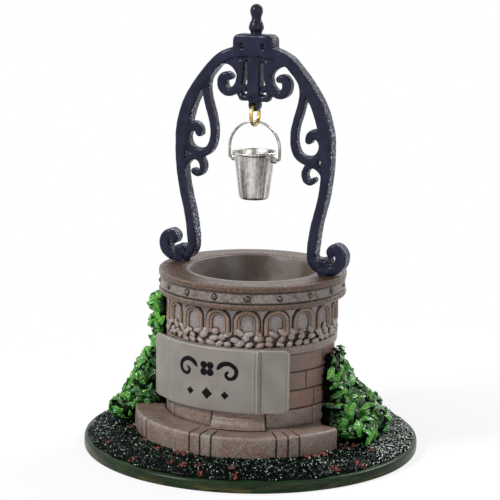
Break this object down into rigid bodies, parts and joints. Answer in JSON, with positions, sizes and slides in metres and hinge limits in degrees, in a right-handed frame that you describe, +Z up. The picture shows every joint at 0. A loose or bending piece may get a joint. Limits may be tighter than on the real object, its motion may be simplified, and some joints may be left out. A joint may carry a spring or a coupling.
{
  "type": "miniature wishing well",
  "caption": "Round stone wishing well on a planted base with a scrolled iron arch that carries a small bucket on a ring, flanked by hedges.",
  "frame": {"origin": "centre of the round base's underside", "axes": "+Z up; +X along the arch towards the right post seen from the front; -Y is the front, with the plaque"},
  "size_m": [0.074, 0.074, 0.0971],
  "materials": {
    "base_enamel": "glossy green paint on cast resin",
    "turf": "stippled green-black paint with pale and red flecks on cast resin",
    "grey_stone": "cast resin painted as grey stone with a brown wash",
    "brown_stone": "cast resin painted as brown stone",
    "cobble_stone": "cast resin cobbles with a dark wash between them",
    "arch_stone": "cast resin arches with a brown wash in the niches",
    "bowl_stone": "grey painted bowl, smooth",
    "plaque_stone": "smooth varnished grey-beige",
    "stud_paint": "dark glossy paint",
    "black_paint": "raised black paint",
    "hedge_enamel": "bright green gloss paint over near-black hollows",
    "iron_enamel": "glossy navy-charcoal enamel",
    "brass_wire": "drawn wire, bright",
    "bail_steel": "flat drawn strip, tarnished",
    "bucket_tin": "tinned sheet with upright brush marks"
  },
  "bodies": {
    "well": {"base_plate": "base_enamel", "ground_cover": "turf", "step": "grey_stone", "foundation_course": "grey_stone", "cove_stone": "grey_stone", "brick_drum": "brown_stone", "ledge": "grey_stone", "pebble_band": "cobble_stone", "arcade_band": "arch_stone", "moulding": "brown_stone", "stud_band": "grey_stone", "studs": "stud_paint", "coping": "brown_stone", "bowl": "bowl_stone", "plaque_panel": "plaque_stone", "left_plaque_ear": "plaque_stone", "right_plaque_ear": "plaque_stone", "plaque_scrollwork": "black_paint", "left_hedge": "hedge_enamel", "right_hedge": "hedge_enamel", "left_foot_block": "iron_enamel", "right_foot_block": "iron_enamel", "left_post": "iron_enamel", "right_post": "iron_enamel", "left_foot_scroll": "iron_enamel", "right_foot_scroll": "iron_enamel", "crown_block": "iron_enamel", "finial": "iron_enamel", "left_inner_scroll": "iron_enamel", "right_inner_scroll": "iron_enamel", "left_curl": "iron_enamel", "right_curl": "iron_enamel", "left_crown_scroll": "iron_enamel", "right_crown_scroll": "iron_enamel", "hanger_bar": "iron_enamel", "left_volute": "iron_enamel", "right_volute": "iron_enamel"},
    "ring": {"jump_ring": "brass_wire"},
    "bail": {"bail": "bail_steel"},
    "bucket": {"bucket": "bucket_tin"}
  },
  "joints": [
    {"name": "ring_swing", "type": "hinge", "parent": "well", "child": "ring", "pos_m": [0, 0, 0.0754], "axis": [0, 1, 0], "range_deg": [-14, 14]},
    {"name": "bail_swing", "type": "hinge", "parent": "ring", "child": "bail", "pos_m": [0, 0, 0.0733], "axis": [1, 0, 0], "range_deg": [-60, 60]},
    {"name": "bucket_tip", "type": "hinge", "parent": "bail", "child": "bucket", "pos_m": [0, 0, 0.06371], "axis": [1, 0, 0], "range_deg": [-120, 120]}
  ]
}
